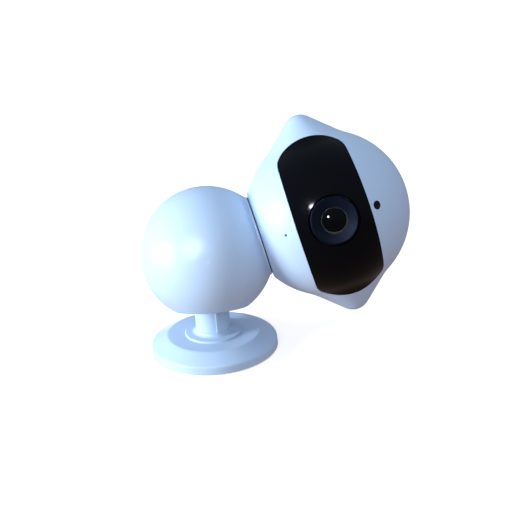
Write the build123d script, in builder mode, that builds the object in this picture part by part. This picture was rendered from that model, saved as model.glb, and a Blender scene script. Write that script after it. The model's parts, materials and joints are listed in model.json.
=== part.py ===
from build123d import *
import os
from math import cos, radians, sin

# Small table camera: a weighted foot with a short stem, a ball that pans and tilts on the stem,
# and a round camera head with two ears that swivels on a flat face of the ball.
# Millimetres. Origin: centre of the foot's underside. +Z up, the lens looks towards -Y.

# ---------------------------------------------------------------- driving dimensions
BALL_RADIUS = 30.0
HEAD_RADIUS = 37.0
BALL_HEIGHT = 47.0            # ball centre above the table
CENTRE_DISTANCE = 56.5        # ball centre to head centre, along the swivel axis
BALL_PITCH = 15.6             # degrees that the ball leans back at rest
SWIVEL_RISE = 13.6            # degrees from the tilt axis up to the swivel axis
SHELL_WALL = 1.8
SEAM = -3.0                   # shell seam, measured forward of the ball or head centre
SEAM_GROOVE = 0.4             # width of the groove that the seam leaves outside

FOOT_RADIUS = 29.0
FOOT_RIM_HEIGHT = 4.3
PLATEAU_RADIUS = 21.1
PLATEAU_HEIGHT = 8.2
FOOT_WALL = 1.6
COLLAR_RADIUS = 13.0
COLLAR_HEIGHT = 9.0
STEM_RADIUS = 7.85
STEM_BORE = 5.5
STEM_TOP = 34.0
SHAFT_RADIUS = 3.0
RUNNING_FIT = 0.05            # radial clearance of shafts that turn in their bores

MOUTH_RADIUS = 17.1           # opening under the ball that the stem passes through
LIP_RADIUS = 18.3
LIP_FACE = 24.6               # flat face of the ball, along the swivel axis from its centre
LAND_FACE = 21.6              # inner side of the land that holds the swivel plate
HEAD_FACE = 25.1              # flat face of the head, along the same axis
HEAD_FACE_ROUND = 3.0         # rounding where that face meets the round of the head
HEAD_WALL_FACE = 27.1         # inner side of the head's flat wall
HUB_RADIUS = 6.0
HUB_BORE = 4.2
PIN_RADIUS = 2.0
EYE_RADIUS = 5.0
EYE_HALF_WIDTH = 3.9
ARM_INNER = 4.4
ARM_OUTER = 6.9

EAR_TIP_RADIUS = 7.9
EAR_TIP_HEIGHT = 45.7
EAR_SLOPE = 42.0              # degrees of the flank below the swivel axis direction
EAR_BLEND = 30.0              # radius of the blend into the round of the head
WINDOW_HALF_WIDTH = 16.5
WINDOW_CORNER = (15.4, 28.9)
WINDOW_END = 36.1
WINDOW_THICKNESS = 1.6
LENS_OPENING = 10.95
LENS_OPENING_BEVEL = 1.1
MIC_ANGLE = -35.5             # microphone, towards the ball from the lens
LIGHT_ANGLE = 32.0            # light sensor, on the other side

SCREW_SHANK = 1.05
SCREW_HEAD = 2.0
FINE_SHANK = 0.8              # the smaller screws of the swivel
SCREW_CLEARANCE = 0.1
CROSS_LENGTH, CROSS_WIDTH, CROSS_DEPTH = 2.4, 0.6, 0.8

os.makedirs("parts", exist_ok=True)

# ---------------------------------------------------------------- frames
right = Vector(1, 0, 0)
up = Vector(0, sin(radians(BALL_PITCH)), cos(radians(BALL_PITCH)))
forward = Vector(0, -cos(radians(BALL_PITCH)), sin(radians(BALL_PITCH)))
swivel = right * cos(radians(SWIVEL_RISE)) + up * sin(radians(SWIVEL_RISE))
ears = up * cos(radians(SWIVEL_RISE)) - right * sin(radians(SWIVEL_RISE))
ball_centre = Vector(0, 0, BALL_HEIGHT)
head_centre = ball_centre + swivel * CENTRE_DISTANCE

BALL = Plane(origin=ball_centre, x_dir=right, z_dir=forward)        # x right, y up, z forward
LEVEL = Plane(origin=ball_centre, x_dir=right, z_dir=up)            # x right, y back, z up
MOUTH = Plane(origin=ball_centre, x_dir=right, z_dir=up * -1)       # z down through the mouth
SWIVEL = Plane(origin=ball_centre, x_dir=ears, z_dir=swivel)        # x ears, y forward
TILT = Plane(origin=ball_centre, x_dir=up, z_dir=right)             # x up, y forward
EYE = Plane(origin=ball_centre, x_dir=(0, 1, 0), z_dir=right)       # the tilt eye, upright
HEAD = Plane(origin=head_centre, x_dir=swivel, z_dir=forward)       # x swivel, y ears
HEAD_LEVEL = Plane(origin=head_centre, x_dir=swivel, z_dir=ears)    # x swivel, y back, z ears


def port_plane(angle):
    """Plane through the head centre that looks out of a port beside the lens."""
    out = forward * cos(radians(angle)) + swivel * sin(radians(angle))
    return Plane(origin=head_centre, x_dir=ears, z_dir=out)


MIC = port_plane(MIC_ANGLE)
LIGHT = port_plane(LIGHT_ANGLE)


# ---------------------------------------------------------------- small building steps
def disc(plane, start, end, radius, at=((0, 0),), hole=0.0, mode=Mode.ADD):
    """Round plates or bosses between two heights over a plane, at each place in the list."""
    with BuildSketch(plane.offset(start)) as outline:
        with Locations(*at):
            Circle(radius)
            if hole:
                Circle(hole, mode=Mode.SUBTRACT)
    extrude(outline.sketch, amount=end - start, mode=mode)


def block(plane, start, end, width, height, at=((0, 0),), corner=0.0, mode=Mode.ADD):
    """Rectangular plates between two heights over a plane, with rounded corners."""
    with BuildSketch(plane.offset(start)) as outline:
        with Locations(*at):
            if corner:
                RectangleRounded(width, height, corner)
            else:
                Rectangle(width, height)
    extrude(outline.sketch, amount=end - start, mode=mode)


def globe(plane, radius, mode=Mode.ADD):
    """Ball about a plane's origin, its poles on the plane's normal."""
    with Locations(plane.location):
        Sphere(radius, mode=mode)


def nut(plane, start, end, radius, bore):
    """Hexagon nut with a plain bore."""
    with BuildSketch(plane.offset(start)) as outline:
        RegularPolygon(radius, 6)
        Circle(bore, mode=Mode.SUBTRACT)
    extrude(outline.sketch, amount=end - start)


def screw(plane, seat, head_end, tip, at, shank=SCREW_SHANK, head=SCREW_HEAD):
    """Pan-head screws: the head from seat to head_end, the shank from seat to tip."""
    disc(plane, min(seat, head_end), max(seat, head_end), head, at)
    disc(plane, min(seat, tip), max(seat, tip), shank, at)


def cross_recess(plane, head_end, at):
    """Cross slots cut into screw heads that look backwards along the plane's normal."""
    for width, height in ((CROSS_LENGTH, CROSS_WIDTH), (CROSS_WIDTH, CROSS_LENGTH)):
        block(plane, head_end, head_end + CROSS_DEPTH, width, height, at, mode=Mode.SUBTRACT)


def around(radius, angles):
    """Places on a circle, at angles in degrees."""
    return [(radius * cos(radians(a)), radius * sin(radians(a))) for a in angles]


def turned(plane, axis_direction, points, mode=Mode.ADD):
    """Solid of revolution of a closed outline of (radius, height) points."""
    with BuildSketch(plane) as outline:
        with BuildLine():
            Polyline(*points, close=True)
        make_face()
    revolve(outline.sketch, axis=Axis(plane.origin, axis_direction), mode=mode)


def save(builder, label):
    """Name the finished piece and write it as its own file."""
    builder.part.label = label
    export_step(builder.part, f"parts/{label}.step")


# ---------------------------------------------------------------- stand
PAD_TOP = 0.8
PAD_RADIUS = 26.0
PLATE_TOP = 2.0
PLATEAU_INSIDE = PLATEAU_HEIGHT - FOOT_WALL
FOOT_LIP = 0.6                # the foot's edge stays clear of the table
FLANGE_RADIUS = 11.0
FLANGE_THICKNESS = 1.2
COLLAR_FLARE = 1.75
BUSH_BOTTOM = 24.2
BUSH_RIM_RADIUS = 7.2
BUSH_RIM = 0.8
BASE_BOSS_RADIUS = 2.6
base_screw_places = around(14.0, (90, 210, 330))

with BuildPart() as foot_cover:
    with BuildSketch(Plane.XZ) as foot_profile:
        with BuildLine():
            Polyline(
                (STEM_RADIUS, PLATEAU_HEIGHT),
                (PLATEAU_RADIUS, PLATEAU_HEIGHT),
                (FOOT_RADIUS - 0.2, FOOT_RIM_HEIGHT),
                (FOOT_RADIUS, FOOT_LIP),
                (FOOT_RADIUS - FOOT_WALL, FOOT_LIP),
                (FOOT_RADIUS - FOOT_WALL, FOOT_RIM_HEIGHT - 0.9),
                (PLATEAU_RADIUS - 0.5, PLATEAU_INSIDE),
                (STEM_RADIUS, PLATEAU_INSIDE),
                close=True,
            )
        make_face()
        rim_corner = foot_profile.vertices().sort_by_distance((FOOT_RADIUS, FOOT_RIM_HEIGHT))[0]
        fillet(rim_corner, radius=1.3)
        plateau_corner = foot_profile.vertices().sort_by_distance((PLATEAU_RADIUS, PLATEAU_HEIGHT))[0]
        fillet(plateau_corner, radius=2.4)
    revolve(axis=Axis.Z)
    disc(Plane.XY, PLATE_TOP, PLATEAU_HEIGHT - 1, BASE_BOSS_RADIUS, base_screw_places)
    disc(Plane.XY, PLATE_TOP, PLATEAU_INSIDE, SCREW_SHANK, base_screw_places, mode=Mode.SUBTRACT)
save(foot_cover, "foot_cover")

with BuildPart() as stem_collar:
    with BuildSketch(Plane.XZ) as collar_profile:
        with BuildLine():
            rim = Polyline(
                (STEM_RADIUS, PLATEAU_HEIGHT),
                (COLLAR_RADIUS, PLATEAU_HEIGHT),
                (COLLAR_RADIUS, COLLAR_HEIGHT - 0.4),
                (COLLAR_RADIUS - 0.4, COLLAR_HEIGHT),
                (STEM_RADIUS + COLLAR_FLARE + 0.25, COLLAR_HEIGHT),
            )
            flare = RadiusArc(rim @ 1, (STEM_RADIUS + 0.25, COLLAR_HEIGHT + COLLAR_FLARE), COLLAR_FLARE)
            Polyline(flare @ 1, (STEM_RADIUS, COLLAR_HEIGHT + COLLAR_FLARE), rim @ 0)
        make_face()
    revolve(axis=Axis.Z)
save(stem_collar, "stem_collar")

RIB_DIRECTION = -76.0         # degrees about +Z, just right of the front
RIB_DEPTH, RIB_WIDTH = 1.4, 1.1
RIB_MIDDLE = STEM_RADIUS - 0.15
with BuildPart() as stem_tube:
    disc(Plane.XY, PLATEAU_INSIDE - FLANGE_THICKNESS, PLATEAU_INSIDE, FLANGE_RADIUS)
    disc(Plane.XY, PLATEAU_INSIDE, STEM_TOP, STEM_RADIUS)
    rib_plane = Plane.XY.rotated((0, 0, RIB_DIRECTION))
    block(rib_plane, COLLAR_HEIGHT + COLLAR_FLARE, STEM_TOP, RIB_DEPTH, RIB_WIDTH, [(RIB_MIDDLE, 0)])
    disc(Plane.XY, 0, STEM_TOP, STEM_BORE, mode=Mode.SUBTRACT)
save(stem_tube, "stem_tube")

with BuildPart() as stem_bush:
    disc(Plane.XY, BUSH_BOTTOM, STEM_TOP, STEM_BORE)
    disc(Plane.XY, STEM_TOP, STEM_TOP + BUSH_RIM, BUSH_RIM_RADIUS)
    disc(Plane.XY, BUSH_BOTTOM, STEM_TOP + BUSH_RIM, SHAFT_RADIUS + RUNNING_FIT, mode=Mode.SUBTRACT)
save(stem_bush, "stem_bush")

with BuildPart() as ballast:
    turned(Plane.XZ, (0, 0, 1), [
        (8.4, 2.05), (26.9, 2.05), (26.9, 3.0), (20.0, 6.3), (11.3, 6.3), (11.3, 5.3), (8.4, 5.3),
    ])
    disc(Plane.XY, 0, PLATEAU_HEIGHT, BASE_BOSS_RADIUS + 0.4, base_screw_places, mode=Mode.SUBTRACT)
save(ballast, "ballast")

BASE_SCREW_HEAD = 2.1
BASE_SCREW_TIP = 6.0
with BuildPart() as base_plate:
    disc(Plane.XY, PAD_TOP, PLATE_TOP, FOOT_RADIUS - FOOT_WALL - 0.1)
    disc(Plane.XY, PAD_TOP, PLATE_TOP, SCREW_SHANK + SCREW_CLEARANCE, base_screw_places,
         mode=Mode.SUBTRACT)
    disc(Plane.XY, PAD_TOP, PAD_TOP + 0.8, BASE_SCREW_HEAD + SCREW_CLEARANCE, base_screw_places,
         mode=Mode.SUBTRACT)
save(base_plate, "base_plate")

with BuildPart() as rubber_pad:
    disc(Plane.XY, 0, PAD_TOP, PAD_RADIUS)
    fillet(rubber_pad.edges().group_by(Axis.Z)[0], radius=0.3)
save(rubber_pad, "rubber_pad")

with BuildPart() as base_screws:
    screw(Plane.XY, PAD_TOP + 0.8, PAD_TOP, BASE_SCREW_TIP, base_screw_places, head=BASE_SCREW_HEAD)
save(base_screws, "base_screws")

# ---------------------------------------------------------------- knuckle: pans in the stem
SPINDLE_END = 19.0
SPINDLE_NUT = 21.0            # underside of the nut that holds the spindle in the stem
SPRING_BOTTOM = 23.4
SPRING_THICKNESS = 0.75
SHOULDER = STEM_TOP + 1.3
SHOULDER_RADIUS = 6.6
NECK_RADIUS = 3.6
with BuildPart() as pan_spindle:
    disc(Plane.XY, SPINDLE_END, SHOULDER, SHAFT_RADIUS)
    disc(Plane.XY, SHOULDER, SHOULDER + 1.2, SHOULDER_RADIUS)
    disc(Plane.XY, SHOULDER + 1.2, BALL_HEIGHT - EYE_RADIUS + 1, NECK_RADIUS)
    disc(EYE, -EYE_HALF_WIDTH, EYE_HALF_WIDTH, EYE_RADIUS)
    disc(EYE, -EYE_HALF_WIDTH, EYE_HALF_WIDTH, PIN_RADIUS + RUNNING_FIT, mode=Mode.SUBTRACT)
save(pan_spindle, "pan_spindle")

with BuildPart() as pan_washer:
    disc(Plane.XY, STEM_TOP + BUSH_RIM + RUNNING_FIT, SHOULDER, SHOULDER_RADIUS, hole=SHAFT_RADIUS)
save(pan_washer, "pan_washer")

with BuildPart() as spindle_nut:
    nut(Plane.XY, SPINDLE_NUT, SPRING_BOTTOM, 4.8, SHAFT_RADIUS)
save(spindle_nut, "spindle_nut")

with BuildPart() as spring_washer:
    disc(Plane.XY, SPRING_BOTTOM, SPRING_BOTTOM + SPRING_THICKNESS, 4.7, hole=SHAFT_RADIUS)
    block(Plane.XY, SPRING_BOTTOM, SPRING_BOTTOM + SPRING_THICKNESS, 3.0, 0.6, [(3.9, 0)],
          mode=Mode.SUBTRACT)
save(spring_washer, "spring_washer")

# ---------------------------------------------------------------- ball
ball_screw_places = [(-20.0, 6.0), (-3.0, 21.5), (-13.0, -16.0), (13.0, -16.0)]
yoke_screw_places = [(x, y) for x in (-10.0, 10.0) for y in (-6.0, 6.0)]
plate_screw_places = around(16.5, (40, 140, 270))
PLATE_SCREW_TIP = 23.4
BALL_BOSS = 3.0
SCREW_SEAT = SEAM - 5.0
SCREW_HEAD_HEIGHT = 1.5
SCREW_TIP = 7.0
YOKE_BACK, YOKE_FRONT = 15.5, 17.5
YOKE_SCREW_TIP = 22.5
SPEAKER = (-2.0, 6.0)
SPEAKER_RADIUS = 12.0
SPEAKER_SEAT = -20.0
GRILLE_FACE = -21.5
GRILLE_PITCH = 2.5
GRILLE_HOLE = 0.65
SOCKET_HEIGHT = 10.2          # power socket, below the ball centre
POWER_BOARD_LEVEL, POWER_BOARD_TOP = -12.6, -11.6

with BuildPart() as ball_void:
    globe(BALL, BALL_RADIUS - SHELL_WALL)
    disc(SWIVEL, LAND_FACE, BALL_RADIUS, 2 * BALL_RADIUS, mode=Mode.SUBTRACT)

with BuildPart() as ball_blank:
    globe(BALL, BALL_RADIUS)
    disc(SWIVEL, LAND_FACE, LIP_FACE, LIP_RADIUS)
    disc(SWIVEL, LIP_FACE, 2 * BALL_RADIUS, 2 * BALL_RADIUS, mode=Mode.SUBTRACT)
    disc(BALL, SEAM - SEAM_GROOVE / 2, SEAM + SEAM_GROOVE / 2, BALL_RADIUS + 1,
         hole=BALL_RADIUS - 0.5, mode=Mode.SUBTRACT)
    add(ball_void.part, mode=Mode.SUBTRACT)
    disc(SWIVEL, LAND_FACE - 1, LIP_FACE, LIP_RADIUS - 2.7, mode=Mode.SUBTRACT)

with BuildPart() as ball_front_bosses:
    disc(BALL, SEAM, BALL_RADIUS, BALL_BOSS, ball_screw_places)
    disc(BALL, YOKE_FRONT, BALL_RADIUS, BALL_BOSS, yoke_screw_places)
    globe(BALL, BALL_RADIUS - 1, mode=Mode.INTERSECT)

with BuildPart() as ball_rear_bosses:
    disc(BALL, -BALL_RADIUS, SEAM, BALL_BOSS + 0.4, ball_screw_places)
    disc(BALL, -BALL_RADIUS, SPEAKER_SEAT + 3, SPEAKER_RADIUS + 1.3, [SPEAKER], hole=SPEAKER_RADIUS + 0.2)
    disc(BALL, -BALL_RADIUS, SPEAKER_SEAT, SPEAKER_RADIUS + 0.2, [SPEAKER], hole=SPEAKER_RADIUS - 1.5)
    block(LEVEL, POWER_BOARD_LEVEL - 2, POWER_BOARD_LEVEL, 2.4, 12.0, [(-7.6, 23.0), (7.6, 23.0)])
    globe(BALL, BALL_RADIUS - 1, mode=Mode.INTERSECT)

with BuildPart() as ball_front_shell:
    add(ball_blank.part)
    split(bisect_by=BALL.offset(SEAM), keep=Keep.TOP)
    add(ball_front_bosses.part)
    disc(MOUTH, 20.0, 2 * BALL_RADIUS, MOUTH_RADIUS, mode=Mode.SUBTRACT)
    disc(BALL, SEAM, SCREW_TIP + 1, SCREW_SHANK, ball_screw_places, mode=Mode.SUBTRACT)
    disc(SWIVEL, LAND_FACE, PLATE_SCREW_TIP, FINE_SHANK, plate_screw_places, mode=Mode.SUBTRACT)
    disc(BALL, YOKE_FRONT, YOKE_SCREW_TIP + 0.5, SCREW_SHANK, yoke_screw_places, mode=Mode.SUBTRACT)
save(ball_front_shell, "ball_front_shell")

with BuildPart() as ball_rear_shell:
    add(ball_blank.part)
    split(bisect_by=BALL.offset(SEAM), keep=Keep.BOTTOM)
    add(ball_rear_bosses.part)
    disc(MOUTH, 20.0, 2 * BALL_RADIUS, MOUTH_RADIUS, mode=Mode.SUBTRACT)
    disc(BALL, -BALL_RADIUS, SCREW_SEAT, SCREW_HEAD + 0.3, ball_screw_places, mode=Mode.SUBTRACT)
    disc(BALL, SCREW_SEAT, SEAM, SCREW_SHANK + SCREW_CLEARANCE, ball_screw_places, mode=Mode.SUBTRACT)
    disc(SWIVEL, LAND_FACE, PLATE_SCREW_TIP, FINE_SHANK, plate_screw_places, mode=Mode.SUBTRACT)
    disc(BALL, -BALL_RADIUS, GRILLE_FACE, GRILLE_HOLE, [SPEAKER], mode=Mode.SUBTRACT)
    with BuildSketch(BALL.offset(-BALL_RADIUS)):
        with Locations(SPEAKER):
            for ring in (1, 2, 3):
                with PolarLocations(ring * GRILLE_PITCH, 6 * ring):
                    Circle(GRILLE_HOLE)
    extrude(amount=BALL_RADIUS + GRILLE_FACE, mode=Mode.SUBTRACT)
    usb_mouth = Plane(origin=ball_centre, x_dir=right, z_dir=forward * -1).offset(22.0)
    block(usb_mouth, 0, 10, 9.0, 4.0, [(0, SOCKET_HEIGHT)], corner=1.2, mode=Mode.SUBTRACT)
save(ball_rear_shell, "ball_rear_shell")

with BuildPart() as tilt_yoke:
    block(BALL, YOKE_BACK, YOKE_FRONT, 26.0, 18.0, corner=3.0)
    for start in (ARM_INNER, -ARM_OUTER):
        disc(TILT, start, start + ARM_OUTER - ARM_INNER, EYE_RADIUS)
        block(TILT, start, start + ARM_OUTER - ARM_INNER, 2 * EYE_RADIUS, YOKE_BACK, [(0, YOKE_BACK / 2)])
    disc(TILT, -ARM_OUTER, ARM_OUTER, PIN_RADIUS, mode=Mode.SUBTRACT)
    disc(BALL, YOKE_BACK, YOKE_FRONT, SCREW_SHANK + SCREW_CLEARANCE, yoke_screw_places,
         mode=Mode.SUBTRACT)
save(tilt_yoke, "tilt_yoke")

with BuildPart() as yoke_screws:
    screw(BALL, YOKE_BACK, YOKE_BACK - 1.4, YOKE_SCREW_TIP, yoke_screw_places)
save(yoke_screws, "yoke_screws")

TILT_HEAD = -ARM_OUTER - 2.2
with BuildPart() as tilt_screw:
    disc(TILT, TILT_HEAD, -ARM_OUTER, 3.5)
    disc(TILT, -ARM_OUTER, ARM_OUTER + 2.3, PIN_RADIUS)
    block(TILT, TILT_HEAD, TILT_HEAD + 1, 5.0, 0.9, mode=Mode.SUBTRACT)
save(tilt_screw, "tilt_screw")

with BuildPart() as tilt_nut:
    nut(TILT, ARM_OUTER, ARM_OUTER + 2.0, 3.7, PIN_RADIUS)
save(tilt_nut, "tilt_nut")

with BuildPart() as tilt_washers:
    for start in (EYE_HALF_WIDTH + RUNNING_FIT, -ARM_INNER):
        disc(TILT, start, start + 0.45, EYE_RADIUS, hole=PIN_RADIUS)
save(tilt_washers, "tilt_washers")

with BuildPart() as ball_screws:
    screw(BALL, SCREW_SEAT, SCREW_SEAT - SCREW_HEAD_HEIGHT, SCREW_TIP, ball_screw_places)
    cross_recess(BALL, SCREW_SEAT - SCREW_HEAD_HEIGHT, ball_screw_places)
save(ball_screws, "ball_screws")

# Swivel between ball and head: heights along the swivel axis, from the ball centre outwards
HUB_END = 16.0
NUT_FACE, NUT_TOP = 16.3, 17.9
SPRING_FACE = 17.95
BEARING_FACE = 18.6
PLATE_FACE = 20.2
TRACK_FACE = 24.2
STOP_WIDTH = 3.6
with BuildPart() as swivel_plate:
    disc(SWIVEL, PLATE_FACE, LAND_FACE, 17.4)
    disc(SWIVEL, LAND_FACE, TRACK_FACE, LIP_RADIUS - 2.8)
    disc(SWIVEL, BEARING_FACE, PLATE_FACE, 9.0)
    block(SWIVEL, NUT_FACE, PLATE_FACE, 2.2, STOP_WIDTH, [(-10.6, 0)])
    disc(SWIVEL, BEARING_FACE, TRACK_FACE, HUB_RADIUS + RUNNING_FIT, mode=Mode.SUBTRACT)
    disc(SWIVEL, PLATE_FACE, LAND_FACE, FINE_SHANK, plate_screw_places, mode=Mode.SUBTRACT)
save(swivel_plate, "swivel_plate")

with BuildPart() as glide_ring:
    disc(SWIVEL, TRACK_FACE, LIP_FACE + RUNNING_FIT, LIP_RADIUS - 2.9)
    disc(SWIVEL, LIP_FACE + RUNNING_FIT, HEAD_FACE - 0.1, LIP_RADIUS - 0.6)
    disc(SWIVEL, TRACK_FACE, HEAD_FACE, 8.0, mode=Mode.SUBTRACT)
save(glide_ring, "glide_ring")

with BuildPart() as wave_spring:
    disc(SWIVEL, SPRING_FACE, BEARING_FACE, 8.6, hole=HUB_RADIUS + 0.35)
save(wave_spring, "wave_spring")

# Loudspeaker, facing backwards behind its hole pattern: (radius, distance behind the ball centre)
speaker_plane = Plane(origin=BALL.from_local_coords((*SPEAKER, 0)), x_dir=right, z_dir=up)
MAGNET_BACK = 14.6
with BuildPart() as speaker_frame:
    turned(speaker_plane, forward, [
        (0, MAGNET_BACK), (9.0, MAGNET_BACK), (11.2, 18.4), (SPEAKER_RADIUS, 18.4),
        (SPEAKER_RADIUS, -SPEAKER_SEAT), (10.3, -SPEAKER_SEAT), (10.3, 18.9), (8.2, 15.6), (0, 15.6),
    ])
save(speaker_frame, "speaker_frame")

with BuildPart() as speaker_magnet:
    disc(BALL, -MAGNET_BACK, -11.4, 7.6, [SPEAKER])
save(speaker_magnet, "speaker_magnet")

with BuildPart() as speaker_cone:
    turned(speaker_plane, forward, [
        (0, 16.9), (3.0, 16.3), (7.6, 18.4), (8.8, 19.1), (10.2, 18.9),
        (10.2, 19.3), (8.6, 19.6), (7.2, 18.8), (3.2, 17.0), (0, 17.6),
    ])
save(speaker_cone, "speaker_cone")

with BuildPart() as power_board:
    block(LEVEL, POWER_BOARD_LEVEL, POWER_BOARD_TOP, 17.6, 9.6, [(0, 18.8)], corner=1.0)
save(power_board, "power_board")

with BuildPart() as usb_socket:
    block(usb_mouth, -2.4, 4.6, 7.6, 2.7, [(0, SOCKET_HEIGHT)], corner=0.7)
    block(usb_mouth, -1.0, 4.6, 6.8, 1.9, [(0, SOCKET_HEIGHT)], corner=0.5, mode=Mode.SUBTRACT)
    block(usb_mouth, -1.0, 3.6, 3.8, 0.6, [(0, SOCKET_HEIGHT - 0.2)])
save(usb_socket, "usb_socket")

# ---------------------------------------------------------------- head
EAR_TIP_CENTRE = EAR_TIP_HEIGHT - EAR_TIP_RADIUS
flank_start = (EAR_TIP_RADIUS * sin(radians(EAR_SLOPE)),
               EAR_TIP_CENTRE + EAR_TIP_RADIUS * cos(radians(EAR_SLOPE)))
FLANK_LENGTH = 20.0
flank_end = (flank_start[0] + FLANK_LENGTH * cos(radians(EAR_SLOPE)),
             flank_start[1] - FLANK_LENGTH * sin(radians(EAR_SLOPE)))


def head_outline(inset):
    """Half outline of the head with both ears, shrunk by inset, on the head plane."""
    with BuildSketch(HEAD) as outline:
        Circle(HEAD_RADIUS)
        for side in (1, -1):
            with BuildLine():
                Polyline(
                    (flank_end[0], side * flank_end[1]), (flank_start[0], side * flank_start[1]),
                    (-flank_start[0], side * flank_start[1]), (-flank_end[0], side * flank_end[1]),
                    close=True,
                )
            make_face()
            with Locations((0, side * EAR_TIP_CENTRE)):
                Circle(EAR_TIP_RADIUS)
        ear_roots = outline.vertices().filter_by(lambda v: 30 < abs(v.Y) < 35)
        fillet(ear_roots, radius=EAR_BLEND)
        if inset:
            offset(amount=-inset)
        with Locations((-HEAD_RADIUS, 0)):
            Rectangle(2 * HEAD_RADIUS, 3 * HEAD_RADIUS, mode=Mode.SUBTRACT)
    return outline.sketch


def head_round(inset, mode=Mode.ADD):
    """The head as a solid of revolution about the axis through both ears."""
    revolve(head_outline(inset), axis=Axis(head_centre, ears), mode=mode)


def window_outline(margin):
    """Front outline of the dark window, grown by margin."""
    side, height = WINDOW_CORNER
    with BuildSketch(HEAD) as outline:
        with BuildLine():
            ThreePointArc((side, -height), (WINDOW_HALF_WIDTH, 0), (side, height))
            ThreePointArc((side, height), (0, WINDOW_END), (-side, height))
            ThreePointArc((-side, height), (-WINDOW_HALF_WIDTH, 0), (-side, -height))
            ThreePointArc((-side, -height), (0, -WINDOW_END), (side, -height))
        make_face()
        fillet(outline.vertices(), radius=6.0)
        if margin:
            offset(amount=margin)
    return outline.sketch


def window_prism(margin, mode=Mode.ADD):
    """Window outline drawn out forwards through the front of the head."""
    extrude(window_outline(margin), amount=2 * HEAD_RADIUS, mode=mode)


head_screw_places = [(x, y) for x in (-24.5, 24.5) for y in (-15.0, 15.0)]
chassis_screw_places = [(x, y) for x in (-19.0, 19.0) for y in (-13.0, 13.0)]
board_screw_places = [(x, y) for x in (-14.0, 14.0) for y in (-14.0, 14.0)]
camera_post_places = [(x, y) for x in (-10.0, 10.0) for y in (-10.0, 10.0)]
lamp_post_places = [(x, y) for x in (-7.0, 7.0) for y in (-19.0, 19.0)]
hub_screw_places = around(8.6, (0, 120, 240))
CHASSIS_REAR, CHASSIS_FRONT = 12.0, 14.0
CHASSIS_SCREW_TIP = 19.0
IO_BOARD_LEVEL = -15.2
BUTTON_PLACE = (12.5, -12.2)
BUTTON_RADIUS = 2.0
BUTTON_END, BUTTON_COLLAR, BUTTON_STALK, BUTTON_TIP = -33.2, -28.4, -27.4, -25.3
CARD_LEVEL = -12.65           # middle of the memory card, measured along the ears
CARD_END, CARD_TIP = -34.4, -19.6
WINDOW_LEDGE = 1.7            # depth of the seat that the window lies on
PORT_DEPTH = 4.0
MIC_HOLE = 0.6
LIGHT_HOLE = 1.95
PIPE_RADIUS = 1.2             # light pipe between the sensor and its round black face
PIPE_REAR, PIPE_SHOULDER, PIPE_TOP = 33.6, 35.9, 36.6

with BuildPart() as head_void:
    head_round(SHELL_WALL)
    disc(SWIVEL, -HEAD_RADIUS, HEAD_WALL_FACE, 3 * HEAD_RADIUS, mode=Mode.SUBTRACT)

with BuildPart() as seam_band:
    extrude(head_outline(-1.0), amount=SEAM_GROOVE)
    extrude(head_outline(0.55), amount=SEAM_GROOVE, mode=Mode.SUBTRACT)
    mirror(about=Plane(origin=head_centre, x_dir=ears, z_dir=swivel))

with BuildPart() as head_blank:
    head_round(0)
    disc(SWIVEL, -HEAD_RADIUS, HEAD_FACE, 3 * HEAD_RADIUS, mode=Mode.SUBTRACT)
    face_edge = head_blank.edges().sort_by_distance(ball_centre + swivel * HEAD_FACE)[0]
    fillet(face_edge, radius=HEAD_FACE_ROUND)
    add(seam_band.part.moved(Location(forward * (SEAM - SEAM_GROOVE / 2))), mode=Mode.SUBTRACT)
    add(head_void.part, mode=Mode.SUBTRACT)

with BuildPart() as window_seat:
    head_round(WINDOW_LEDGE)
    head_round(WINDOW_LEDGE + 1.5, mode=Mode.SUBTRACT)
    window_prism(1.2, mode=Mode.INTERSECT)

with BuildPart() as window_pocket:
    head_round(-1.0)
    head_round(WINDOW_LEDGE, mode=Mode.SUBTRACT)
    window_prism(0, mode=Mode.INTERSECT)

with BuildPart() as head_front_bosses:
    disc(HEAD, SEAM, HEAD_RADIUS, 2.8, head_screw_places)
    disc(HEAD, CHASSIS_FRONT, HEAD_RADIUS, 3.0, chassis_screw_places)
    globe(HEAD, HEAD_RADIUS - 1, mode=Mode.INTERSECT)
    add(window_pocket.part, mode=Mode.SUBTRACT)

with BuildPart() as head_front_shell:
    add(head_blank.part)
    split(bisect_by=HEAD.offset(SEAM), keep=Keep.TOP)
    add(window_seat.part)
    add(head_front_bosses.part)
    add(window_pocket.part, mode=Mode.SUBTRACT)
    window_prism(-2.2, mode=Mode.SUBTRACT)
    disc(HEAD, SEAM, SCREW_TIP + 1, SCREW_SHANK, head_screw_places, mode=Mode.SUBTRACT)
    disc(HEAD, CHASSIS_FRONT, CHASSIS_SCREW_TIP + 1, SCREW_SHANK, chassis_screw_places,
         mode=Mode.SUBTRACT)
    disc(SWIVEL, HEAD_FACE, HEAD_WALL_FACE, HUB_RADIUS, mode=Mode.SUBTRACT)
    disc(SWIVEL, HEAD_FACE, HEAD_WALL_FACE, FINE_SHANK, hub_screw_places, mode=Mode.SUBTRACT)
    disc(MIC, HEAD_RADIUS - PORT_DEPTH, HEAD_RADIUS + 1, MIC_HOLE, mode=Mode.SUBTRACT)
    disc(LIGHT, HEAD_RADIUS - PORT_DEPTH, HEAD_RADIUS, PIPE_RADIUS + 0.05, mode=Mode.SUBTRACT)
    disc(LIGHT, PIPE_SHOULDER, HEAD_RADIUS + 1, LIGHT_HOLE, mode=Mode.SUBTRACT)
save(head_front_shell, "head_front_shell")

with BuildPart() as head_rear_bosses:
    disc(HEAD, -HEAD_RADIUS, SEAM, 3.2, head_screw_places)
    block(HEAD_LEVEL, IO_BOARD_LEVEL - 3.8, IO_BOARD_LEVEL, 2.4, 20.0, [(-7.4, 24.0), (14.0, 24.0)])
    globe(HEAD, HEAD_RADIUS - 1, mode=Mode.INTERSECT)

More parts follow.
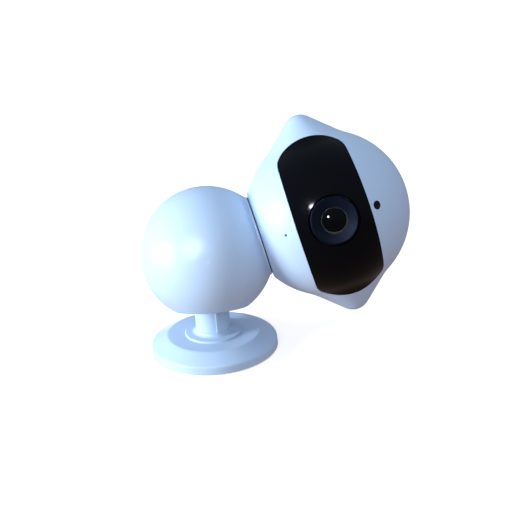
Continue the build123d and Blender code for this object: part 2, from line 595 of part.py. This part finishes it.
FINGER_SCOOP = 6.0
with BuildPart() as head_rear_shell:
    add(head_blank.part)
    split(bisect_by=HEAD.offset(SEAM), keep=Keep.BOTTOM)
    add(head_rear_bosses.part)
    disc(HEAD, -HEAD_RADIUS, SCREW_SEAT, SCREW_HEAD + 0.3, head_screw_places, mode=Mode.SUBTRACT)
    disc(HEAD, SCREW_SEAT, SEAM, SCREW_SHANK + SCREW_CLEARANCE, head_screw_places, mode=Mode.SUBTRACT)
    disc(SWIVEL, HEAD_FACE, HEAD_WALL_FACE, HUB_RADIUS, mode=Mode.SUBTRACT)
    disc(SWIVEL, HEAD_FACE, HEAD_WALL_FACE, FINE_SHANK, hub_screw_places, mode=Mode.SUBTRACT)
    disc(HEAD, -HEAD_RADIUS, -26.0, BUTTON_RADIUS + 0.08, [BUTTON_PLACE], mode=Mode.SUBTRACT)
    block(HEAD, -HEAD_RADIUS - 1, -30.0, 11.8, 1.9, [(0, CARD_LEVEL)], corner=0.4, mode=Mode.SUBTRACT)
    scoop_centre = HEAD.from_local_coords((0, CARD_LEVEL + 4.0, -40.4))
    globe(Plane(origin=scoop_centre, x_dir=swivel, z_dir=forward), FINGER_SCOOP, mode=Mode.SUBTRACT)
save(head_rear_shell, "head_rear_shell")

LENS_AXIS = Plane(origin=head_centre, x_dir=swivel, z_dir=ears * -1)      # x across, y forward
BEVEL_DEPTH = 34.9            # where the bevel of the lens opening starts, forward of the head centre
with BuildPart() as window:
    head_round(0)
    head_round(WINDOW_THICKNESS, mode=Mode.SUBTRACT)
    window_prism(-0.15, mode=Mode.INTERSECT)
    disc(HEAD, 20.0, HEAD_RADIUS + 1, LENS_OPENING, mode=Mode.SUBTRACT)
    turned(LENS_AXIS, forward, [
        (LENS_OPENING - 0.05, BEVEL_DEPTH - 0.05),
        (LENS_OPENING + LENS_OPENING_BEVEL, BEVEL_DEPTH + LENS_OPENING_BEVEL),
        (LENS_OPENING - 0.05, BEVEL_DEPTH + LENS_OPENING_BEVEL),
    ], mode=Mode.SUBTRACT)
save(window, "window")

# Lens: (radius, distance forward of the head centre)
LENS_RADIUS = 5.2
LENS_SEAT = 32.6
LENS_BULGE = 9.8              # radius of the glass's domed face
LENS_CROWN = 34.9
BARREL_RADIUS = 5.85
BARREL_BORE = 4.2
BARREL_REAR, BARREL_FRONT = 21.2, 33.7
with BuildPart() as lens_trim_ring:
    turned(LENS_AXIS, forward, [
        (BARREL_RADIUS, 31.8), (12.4, 31.8), (12.4, 32.8), (10.3, 32.8), (10.3, 35.2),
        (9.9, 35.5), (6.3, 34.5), (BARREL_RADIUS, 34.1),
    ])
save(lens_trim_ring, "lens_trim_ring")

with BuildPart() as lens_glass:
    disc(HEAD, LENS_SEAT, LENS_CROWN + 1, LENS_RADIUS)
    globe(HEAD.offset(LENS_CROWN - LENS_BULGE), LENS_BULGE, mode=Mode.INTERSECT)
save(lens_glass, "lens_glass")

with BuildPart() as lens_barrel:
    disc(HEAD, BARREL_REAR, BARREL_FRONT, BARREL_RADIUS)
    disc(HEAD, LENS_SEAT, BARREL_FRONT, LENS_RADIUS, mode=Mode.SUBTRACT)
    disc(HEAD, BARREL_REAR, LENS_SEAT, BARREL_BORE, mode=Mode.SUBTRACT)
save(lens_barrel, "lens_barrel")

HOLDER_REAR, HOLDER_FRONT = 18.0, 27.0
SENSOR_ROOM = 19.6
with BuildPart() as lens_holder:
    block(HEAD, HOLDER_REAR, 21.0, 15.0, 15.0, corner=1.0)
    disc(HEAD, 21.0, HOLDER_FRONT, 7.6)
    block(HEAD, HOLDER_REAR, SENSOR_ROOM, 10.0, 10.0, mode=Mode.SUBTRACT)
    disc(HEAD, SENSOR_ROOM, HOLDER_FRONT, BARREL_RADIUS, mode=Mode.SUBTRACT)
save(lens_holder, "lens_holder")

with BuildPart() as image_sensor:
    block(HEAD, HOLDER_REAR, HOLDER_REAR + 1.1, 8.0, 8.0)
save(image_sensor, "image_sensor")

with BuildPart() as sensor_board:
    block(HEAD, HOLDER_REAR - 1.2, HOLDER_REAR, 25.0, 25.0, corner=1.5)
save(sensor_board, "sensor_board")

IR_BOARD_REAR, IR_BOARD_FRONT = 22.0, 23.2
IR_LED_RADIUS = 2.5
IR_LED_SHOULDER = 26.0
led_places = [(6.5, 15.5), (-6.5, 15.5), (6.5, -15.5), (-6.5, -15.5), (0, 20.5), (0, -20.5)]
with BuildPart() as ir_board:
    block(HEAD, IR_BOARD_REAR, IR_BOARD_FRONT, 20.0, 46.0, corner=6.0)
    disc(HEAD, IR_BOARD_REAR, IR_BOARD_FRONT, 9.0, mode=Mode.SUBTRACT)
save(ir_board, "ir_board")

with BuildPart() as ir_leds:
    disc(HEAD, IR_BOARD_FRONT, IR_LED_SHOULDER, IR_LED_RADIUS, led_places)
    with BuildSketch(HEAD.offset(IR_LED_SHOULDER)):
        with Locations(*led_places):
            Circle(IR_LED_RADIUS)
    extrude(amount=2.0, taper=35)
save(ir_leds, "ir_leds")

with BuildPart() as inner_chassis:
    disc(HEAD, CHASSIS_REAR, CHASSIS_FRONT, 24.0)
    disc(HEAD, CHASSIS_REAR, CHASSIS_FRONT, SCREW_SHANK + SCREW_CLEARANCE, chassis_screw_places,
         mode=Mode.SUBTRACT)
    disc(HEAD, CHASSIS_FRONT, HOLDER_REAR - 1.2, 2.0, camera_post_places)
    disc(HEAD, CHASSIS_FRONT, IR_BOARD_REAR, 2.0, lamp_post_places)
    block(HEAD, CHASSIS_REAR, CHASSIS_FRONT, 14.0, 10.0, corner=2.0, mode=Mode.SUBTRACT)
save(inner_chassis, "inner_chassis")

with BuildPart() as chassis_screws:
    screw(HEAD, CHASSIS_REAR, CHASSIS_REAR - 1.4, CHASSIS_SCREW_TIP, chassis_screw_places)
save(chassis_screws, "chassis_screws")

BOARD_REAR, BOARD_FRONT = 6.0, 7.4
SPACER_RADIUS = 2.2
SPACER_BORE_END = 11.0
with BuildPart() as main_board:
    disc(HEAD, BOARD_REAR, BOARD_FRONT, 22.0)
    disc(HEAD, BOARD_REAR, BOARD_FRONT, SCREW_SHANK, board_screw_places, mode=Mode.SUBTRACT)
save(main_board, "main_board")

with BuildPart() as board_spacers:
    disc(HEAD, BOARD_FRONT, CHASSIS_REAR, SPACER_RADIUS, board_screw_places)
    disc(HEAD, BOARD_FRONT, SPACER_BORE_END, SCREW_SHANK, board_screw_places, mode=Mode.SUBTRACT)
save(board_spacers, "board_spacers")

with BuildPart() as main_board_screws:
    screw(HEAD, BOARD_REAR, BOARD_REAR - 1.4, SPACER_BORE_END - 0.2, board_screw_places)
save(main_board_screws, "main_board_screws")

with BuildPart() as board_chips:
    block(HEAD, BOARD_REAR - 2.0, BOARD_REAR, 14.0, 11.0, [(-4.0, 8.0)], corner=0.6)
    block(HEAD, BOARD_REAR - 1.2, BOARD_REAR, 12.0, 12.0, [(4.0, -7.0)], corner=0.4)
    block(HEAD, BOARD_REAR - 4.0, BOARD_REAR, 3.6, 8.0, [(-14.0, -2.0)])
save(board_chips, "board_chips")

# Microphone and light sensor: distances from the head centre along each port
MIC_REAR, MIC_FRONT = 31.8, 33.6
MIC_RADIUS = 1.9
BOOT_REAR, BOOT_FRONT, BOOT_NOSE = 31.2, 34.7, 36.3
with BuildPart() as mic_capsule:
    disc(MIC, MIC_REAR, MIC_FRONT, MIC_RADIUS)
save(mic_capsule, "mic_capsule")

with BuildPart() as mic_boot:
    disc(MIC, BOOT_REAR, BOOT_FRONT, MIC_RADIUS + 0.5)
    disc(MIC, BOOT_FRONT, BOOT_NOSE, MIC_HOLE - 0.04)
    disc(MIC, MIC_REAR, MIC_FRONT, MIC_RADIUS, mode=Mode.SUBTRACT)
    disc(MIC, MIC_FRONT, BOOT_NOSE, 0.3, mode=Mode.SUBTRACT)
    disc(MIC, BOOT_REAR, MIC_REAR, 1.2, mode=Mode.SUBTRACT)
save(mic_boot, "mic_boot")

with BuildPart() as light_window:
    disc(LIGHT, PIPE_REAR, PIPE_SHOULDER, PIPE_RADIUS)
    disc(LIGHT, PIPE_SHOULDER, PIPE_TOP, LIGHT_HOLE - 0.05)
save(light_window, "light_window")

with BuildPart() as light_sensor:
    block(LIGHT, PIPE_REAR - 1.6, PIPE_REAR, 3.0, 2.4)
save(light_sensor, "light_sensor")

with BuildPart() as io_board:
    block(HEAD_LEVEL, IO_BOARD_LEVEL, IO_BOARD_LEVEL + 1.2, 25.0, 14.0, [(3.3, 18.0)], corner=1.0)
save(io_board, "io_board")

SOCKET_END, SOCKET_STOP = -31.0, -18.6
with BuildPart() as card_socket:
    block(HEAD, SOCKET_END, SOCKET_STOP + 1.6, 13.6, 2.6, [(0, CARD_LEVEL - 0.05)])
    block(HEAD, SOCKET_END, SOCKET_STOP, 11.2, 1.2, [(0, CARD_LEVEL)], mode=Mode.SUBTRACT)
save(card_socket, "card_socket")

SWITCH_FACE = -24.0
with BuildPart() as reset_switch:
    block(HEAD, SWITCH_FACE, SWITCH_FACE + 4, 5.0, 3.6, [BUTTON_PLACE])
    disc(HEAD, SWITCH_FACE - 0.6, SWITCH_FACE, 1.0, [BUTTON_PLACE])
save(reset_switch, "reset_switch")

with BuildPart() as head_screws:
    screw(HEAD, SCREW_SEAT, SCREW_SEAT - SCREW_HEAD_HEIGHT, SCREW_TIP, head_screw_places)
    cross_recess(HEAD, SCREW_SEAT - SCREW_HEAD_HEIGHT, head_screw_places)
save(head_screws, "head_screws")

HUB_FLANGE = HEAD_WALL_FACE + 1.3
with BuildPart() as swivel_hub:
    disc(SWIVEL, HEAD_WALL_FACE, HUB_FLANGE, 11.0)
    disc(SWIVEL, HUB_END, HEAD_WALL_FACE, HUB_RADIUS)
    disc(SWIVEL, HUB_END, HUB_FLANGE, HUB_BORE, mode=Mode.SUBTRACT)
    disc(SWIVEL, HEAD_WALL_FACE, HUB_FLANGE, FINE_SHANK, hub_screw_places, mode=Mode.SUBTRACT)
save(swivel_hub, "swivel_hub")

with BuildPart() as hub_screws:
    screw(SWIVEL, HUB_FLANGE, HUB_FLANGE + 1, HEAD_FACE + 0.3, hub_screw_places,
          shank=FINE_SHANK, head=1.5)
save(hub_screws, "hub_screws")

with BuildPart() as plate_screws:
    screw(SWIVEL, PLATE_FACE, PLATE_FACE - 1, PLATE_SCREW_TIP, plate_screw_places,
          shank=FINE_SHANK, head=1.1)
save(plate_screws, "plate_screws")

with BuildPart() as swivel_nut:
    disc(SWIVEL, NUT_FACE, NUT_TOP, 8.8, hole=HUB_RADIUS)
    block(SWIVEL, NUT_FACE, NUT_TOP, 3.0, STOP_WIDTH - 0.4, [(9.9, 0)])
save(swivel_nut, "swivel_nut")

# ---------------------------------------------------------------- pieces that slide in the head
with BuildPart() as memory_card:
    block(HEAD, CARD_END, CARD_TIP, 11.0, 1.0, [(0, CARD_LEVEL)])
save(memory_card, "memory_card")

with BuildPart() as reset_button:
    disc(HEAD, BUTTON_END, BUTTON_COLLAR, BUTTON_RADIUS, [BUTTON_PLACE])
    disc(HEAD, BUTTON_COLLAR, BUTTON_STALK, 2.6, [BUTTON_PLACE])
    disc(HEAD, BUTTON_STALK, BUTTON_TIP, 1.2, [BUTTON_PLACE])
    fillet(reset_button.edges().group_by(Axis.Y)[-1], radius=0.4)
save(reset_button, "reset_button")
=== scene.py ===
import json
from math import cos, radians, sin

import bpy
from mathutils import Matrix, Vector

# A two-eared baby monitor camera: a round head on a ball that pans and tilts on a weighted stand.
# Metres. The stand is on the floor at z = 0, the lens looks towards -Y.

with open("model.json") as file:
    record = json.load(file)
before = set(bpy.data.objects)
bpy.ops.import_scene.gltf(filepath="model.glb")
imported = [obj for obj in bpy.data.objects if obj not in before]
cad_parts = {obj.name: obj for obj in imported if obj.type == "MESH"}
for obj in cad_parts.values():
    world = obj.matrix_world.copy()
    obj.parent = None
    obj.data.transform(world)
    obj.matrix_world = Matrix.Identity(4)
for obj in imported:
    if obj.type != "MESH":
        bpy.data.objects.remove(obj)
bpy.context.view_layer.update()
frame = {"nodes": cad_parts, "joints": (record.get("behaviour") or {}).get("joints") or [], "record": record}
nodes = frame["nodes"]
MM = 0.001
CENTRE_DISTANCE = 56.5 * MM         # from the ball's centre to the head's


# ---------------------------------------------------------------- places taken from the frame
def joint(name):
    """The record's entry for a joint."""
    return next(j for j in frame["joints"] if j["name"] == name)


ball_centre = Vector(joint("tilt")["pos_m"])
swivel_axis = Vector(joint("head_swivel")["axis"]).normalized()
head_centre = ball_centre + swivel_axis * CENTRE_DISTANCE

# ---------------------------------------------------------------- camera
CAMERA_ELEVATION = radians(23.0)
CAMERA_AZIMUTH = radians(-2.45)
CAMERA_ROLL = radians(4.1)
CAMERA_DISTANCE = 670.0 * MM        # in front of the ball's centre
AIM_RIGHT = 23.74 * MM              # the view's centre lies this far right of the ball's centre
AIM_UP = -3.17 * MM                 # and this far above it
SENSOR_WIDTH = 36.0                 # millimetres, as Blender's cameras count it
FOCAL_SHARE = 1500 / 520            # focal length over image width
CLIP_START, CLIP_END = 0.01, 20.0


def add_camera():
    """Long lens, looking slightly down on the front, rolled a little."""
    ce, se = cos(CAMERA_ELEVATION), sin(CAMERA_ELEVATION)
    ca, sa = cos(CAMERA_AZIMUTH), sin(CAMERA_AZIMUTH)
    back = Vector((sa * ce, -ca * ce, se))
    level = Vector((ca, sa, 0))
    upright = back.cross(level)
    right = level * cos(CAMERA_ROLL) - upright * sin(CAMERA_ROLL)
    up = level * sin(CAMERA_ROLL) + upright * cos(CAMERA_ROLL)
    place = ball_centre + right * AIM_RIGHT + up * AIM_UP + back * CAMERA_DISTANCE
    data = bpy.data.cameras.new("camera")
    data.sensor_width = SENSOR_WIDTH
    data.lens = SENSOR_WIDTH * FOCAL_SHARE
    data.clip_start = CLIP_START
    data.clip_end = CLIP_END
    camera = bpy.data.objects.new("camera", data)
    bpy.context.scene.collection.objects.link(camera)
    rotation = Matrix((right, up, back)).transposed().to_4x4()
    camera.matrix_world = Matrix.Translation(place) @ rotation
    bpy.context.scene.camera = camera
    return right, up, back


view_right, view_up, view_back = add_camera()


# ---------------------------------------------------------------- light and floor
LAMP_BLUE = (0.80, 0.90, 1.0)
LAMP_WARM = (1.0, 0.97, 0.92)
LAMP_COOL = (0.9, 0.95, 1.0)
KEY_DISTANCE, KEY_SIZE, KEY_POWER = 0.8, (0.26, 0.26), 8.3
FRONT_DISTANCE, FRONT_SIZE, FRONT_POWER = 1.1, (0.3, 0.3), 1.5
REAR_DISTANCE, REAR_SIZE, REAR_POWER = 1.2, (0.6, 0.4), 4.5
SPARK_DISTANCE, SPARK_SIZE, SPARK_POWER = 0.6, (0.085, 0.085), 0.06
SPARK_SPREAD = radians(9.0)
BACKDROP = (1, 1, 1, 1)
# height from straight down (0) to straight up (1), and the light that comes from there
SURROUND = ((0.0, (0.36, 0.25, 0.22)), (0.45, (0.33, 0.31, 0.36)), (0.62, (0.42, 0.48, 0.58)),
            (1.0, (0.46, 0.56, 0.69)))
FLOOR_HALF_WIDTH = 4.0
FLOOR_COLOUR = (0.95, 0.85, 0.77, 1)
FLOOR_ROUGHNESS = 0.8
FLOOR_GLOW = 0.62


def area_light(name, direction, distance, size, power, colour, aim):
    """Soft box that looks at a point from a direction."""
    data = bpy.data.lights.new(name, "AREA")
    data.shape = "RECTANGLE"
    data.size, data.size_y = size
    data.energy = power
    data.color = colour
    light = bpy.data.objects.new(name, data)
    bpy.context.scene.collection.objects.link(light)
    place = aim + direction.normalized() * distance
    rotation = direction.to_track_quat("Z", "Y").to_matrix().to_4x4()
    light.matrix_world = Matrix.Translation(place) @ rotation
    return light


def add_world():
    """Soft studio surround: cool above, grey at the sides, warm below, and white where the camera sees it."""
    world = bpy.data.worlds.new("studio")
    world.use_nodes = True
    tree = world.node_tree
    place = tree.nodes.new("ShaderNodeTexCoord")
    split = tree.nodes.new("ShaderNodeSeparateXYZ")
    height = tree.nodes.new("ShaderNodeMapRange")
    height.inputs["From Min"].default_value = -1.0
    ramp = tree.nodes.new("ShaderNodeValToRGB")
    while len(ramp.color_ramp.elements) < len(SURROUND):
        ramp.color_ramp.elements.new(0.5)
    for element, (level, colour) in zip(ramp.color_ramp.elements, SURROUND):
        element.position = level
        element.color = (*colour, 1)
    tree.links.new(place.outputs["Generated"], split.inputs["Vector"])
    tree.links.new(split.outputs["Z"], height.inputs["Value"])
    tree.links.new(height.outputs["Result"], ramp.inputs["Fac"])
    seen = tree.nodes.new("ShaderNodeLightPath")
    backdrop = tree.nodes.new("ShaderNodeMix")
    backdrop.data_type = "RGBA"
    backdrop.inputs["B"].default_value = BACKDROP
    tree.links.new(seen.outputs["Is Camera Ray"], backdrop.inputs["Factor"])
    tree.links.new(ramp.outputs["Color"], backdrop.inputs["A"])
    tree.links.new(backdrop.outputs["Result"], tree.nodes["Background"].inputs["Color"])
    bpy.context.scene.world = world


def add_lights():
    """Key from the left, fill from the front, a rear lamp, and a small lamp that only glints in the head."""
    middle = (ball_centre + head_centre) / 2
    key = view_right * -0.94 + view_up * -0.03 + view_back * 0.33
    area_light("key", key, KEY_DISTANCE, KEY_SIZE, KEY_POWER, LAMP_BLUE, middle)
    front = view_right * -0.3 + view_up * 0.12 + view_back * 0.95
    fill = area_light("front", front, FRONT_DISTANCE, FRONT_SIZE, FRONT_POWER, LAMP_BLUE, middle)
    fill.visible_glossy = False
    rear = view_right * -0.25 + view_up * 0.05 - view_back * 0.95
    area_light("rear", rear, REAR_DISTANCE, REAR_SIZE, REAR_POWER, LAMP_WARM, middle)
    spark = view_right * -0.382 + view_up * 0.104 + view_back * 0.936
    lamp = area_light("spark", spark, SPARK_DISTANCE, SPARK_SIZE, SPARK_POWER, LAMP_COOL, head_centre)
    lamp.visible_diffuse = False
    lamp.data.spread = SPARK_SPREAD


add_world()
add_lights()


def add_floor():
    """Plain pale floor. It doesn't flood the object's underside with light."""
    mesh = bpy.data.meshes.new("floor")
    half = FLOOR_HALF_WIDTH
    corners = [(-half, -half, 0), (half, -half, 0), (half, half, 0), (-half, half, 0)]
    mesh.from_pydata(corners, [], [(0, 1, 2, 3)])
    floor = bpy.data.objects.new("floor", mesh)
    bpy.context.scene.collection.objects.link(floor)
    floor.visible_diffuse = False
    floor.visible_glossy = False
    pale = bpy.data.materials.new("floor")
    pale.use_nodes = True
    shader = pale.node_tree.nodes["Principled BSDF"]
    shader.inputs["Base Color"].default_value = FLOOR_COLOUR
    shader.inputs["Roughness"].default_value = FLOOR_ROUGHNESS
    shader.inputs["Specular IOR Level"].default_value = 0.0
    shader.inputs["Emission Color"].default_value = (1, 1, 1, 1)
    shader.inputs["Emission Strength"].default_value = FLOOR_GLOW
    mesh.materials.append(pale)


add_floor()
bpy.context.scene.view_settings.view_transform = "Standard"


# ---------------------------------------------------------------- materials
DRIFT_SCALE, DRIFT_DETAIL = 45.0, 3.0
GRAIN_DETAIL = 4.0
RELIEF_DEPTH = 0.2 * MM


def material(name, colour, roughness, spread=0.04, grain=900.0, bump=0.02, shade=0.03, **sockets):
    """Moulded or machined surface: slow colour drift, fine roughness variation and a small-scale bump."""
    made = bpy.data.materials.new(name)
    made.use_nodes = True
    tree = made.node_tree
    shader = tree.nodes["Principled BSDF"]
    place = tree.nodes.new("ShaderNodeTexCoord")
    drift = tree.nodes.new("ShaderNodeTexNoise")
    drift.inputs["Scale"].default_value = DRIFT_SCALE
    drift.inputs["Detail"].default_value = DRIFT_DETAIL
    tree.links.new(place.outputs["Object"], drift.inputs["Vector"])
    blend = tree.nodes.new("ShaderNodeMix")
    blend.data_type = "RGBA"
    blend.inputs["A"].default_value = (*[c * (1 - shade) for c in colour], 1)
    blend.inputs["B"].default_value = (*[min(1, c * (1 + shade)) for c in colour], 1)
    tree.links.new(drift.outputs["Fac"], blend.inputs["Factor"])
    tree.links.new(blend.outputs["Result"], shader.inputs["Base Color"])
    fine = tree.nodes.new("ShaderNodeTexNoise")
    fine.inputs["Scale"].default_value = grain
    fine.inputs["Detail"].default_value = GRAIN_DETAIL
    tree.links.new(place.outputs["Object"], fine.inputs["Vector"])
    gloss = tree.nodes.new("ShaderNodeMapRange")
    gloss.inputs["To Min"].default_value = max(0.0, roughness - spread)
    gloss.inputs["To Max"].default_value = min(1.0, roughness + spread)
    tree.links.new(fine.outputs["Fac"], gloss.inputs["Value"])
    tree.links.new(gloss.outputs["Result"], shader.inputs["Roughness"])
    relief = tree.nodes.new("ShaderNodeBump")
    relief.inputs["Strength"].default_value = bump
    relief.inputs["Distance"].default_value = RELIEF_DEPTH
    tree.links.new(fine.outputs["Fac"], relief.inputs["Height"])
    tree.links.new(relief.outputs["Normal"], shader.inputs["Normal"])
    for socket, value in sockets.items():
        shader.inputs[socket.replace("_", " ")].default_value = value
    return made


materials = {
    "white_shell": material("white_plastic", (0.60, 0.75, 0.94), 0.42, Specular_IOR_Level=0.4),
    "black_gloss": material("black_window", (0.0015, 0.0018, 0.003), 0.09, spread=0.03, bump=0.0,
                            Specular_IOR_Level=0.08),
    "lens_trim": material("lens_trim", (0.0022, 0.005, 0.014), 0.5, Specular_IOR_Level=0.04),
    "lens_glass": material("lens_glass", (0.0004, 0.0006, 0.002), 0.04, spread=0.01, bump=0.0,
                           Specular_IOR_Level=0.1),
    "light_lens": material("light_lens", (0.003, 0.003, 0.006), 0.12, Specular_IOR_Level=0.15),
    "rubber": material("rubber", (0.012, 0.012, 0.014), 0.75, grain=2500.0, bump=0.3,
                       Specular_IOR_Level=0.25),
    "steel": material("steel", (0.55, 0.55, 0.57), 0.32, Metallic=1.0),
    "bright_screw": material("bright_screw", (0.7, 0.7, 0.72), 0.22, Metallic=1.0),
    "brass": material("brass", (0.72, 0.5, 0.2), 0.3, Metallic=1.0),
    "bearing_plastic": material("bearing_plastic", (0.8, 0.78, 0.72), 0.45),
    "black_plastic": material("black_plastic", (0.008, 0.008, 0.01), 0.5, grain=2500.0, bump=0.3,
                              Specular_IOR_Level=0.2),
    "speaker_paper": material("speaker_paper", (0.04, 0.04, 0.04), 0.85, grain=1500.0, bump=0.5),
    "circuit_board": material("circuit_board", (0.02, 0.12, 0.05), 0.35),
    "chip": material("chip", (0.025, 0.025, 0.028), 0.6),
    "led_lens": material("led_lens", (0.05, 0.04, 0.08), 0.1),
    "grey_button": material("grey_button", (0.12, 0.13, 0.15), 0.45),
}
for row in frame["record"]["subparts"]:
    node = nodes[row["node"]]
    node.data.materials.clear()
    node.data.materials.append(materials[row["material_slot"]])
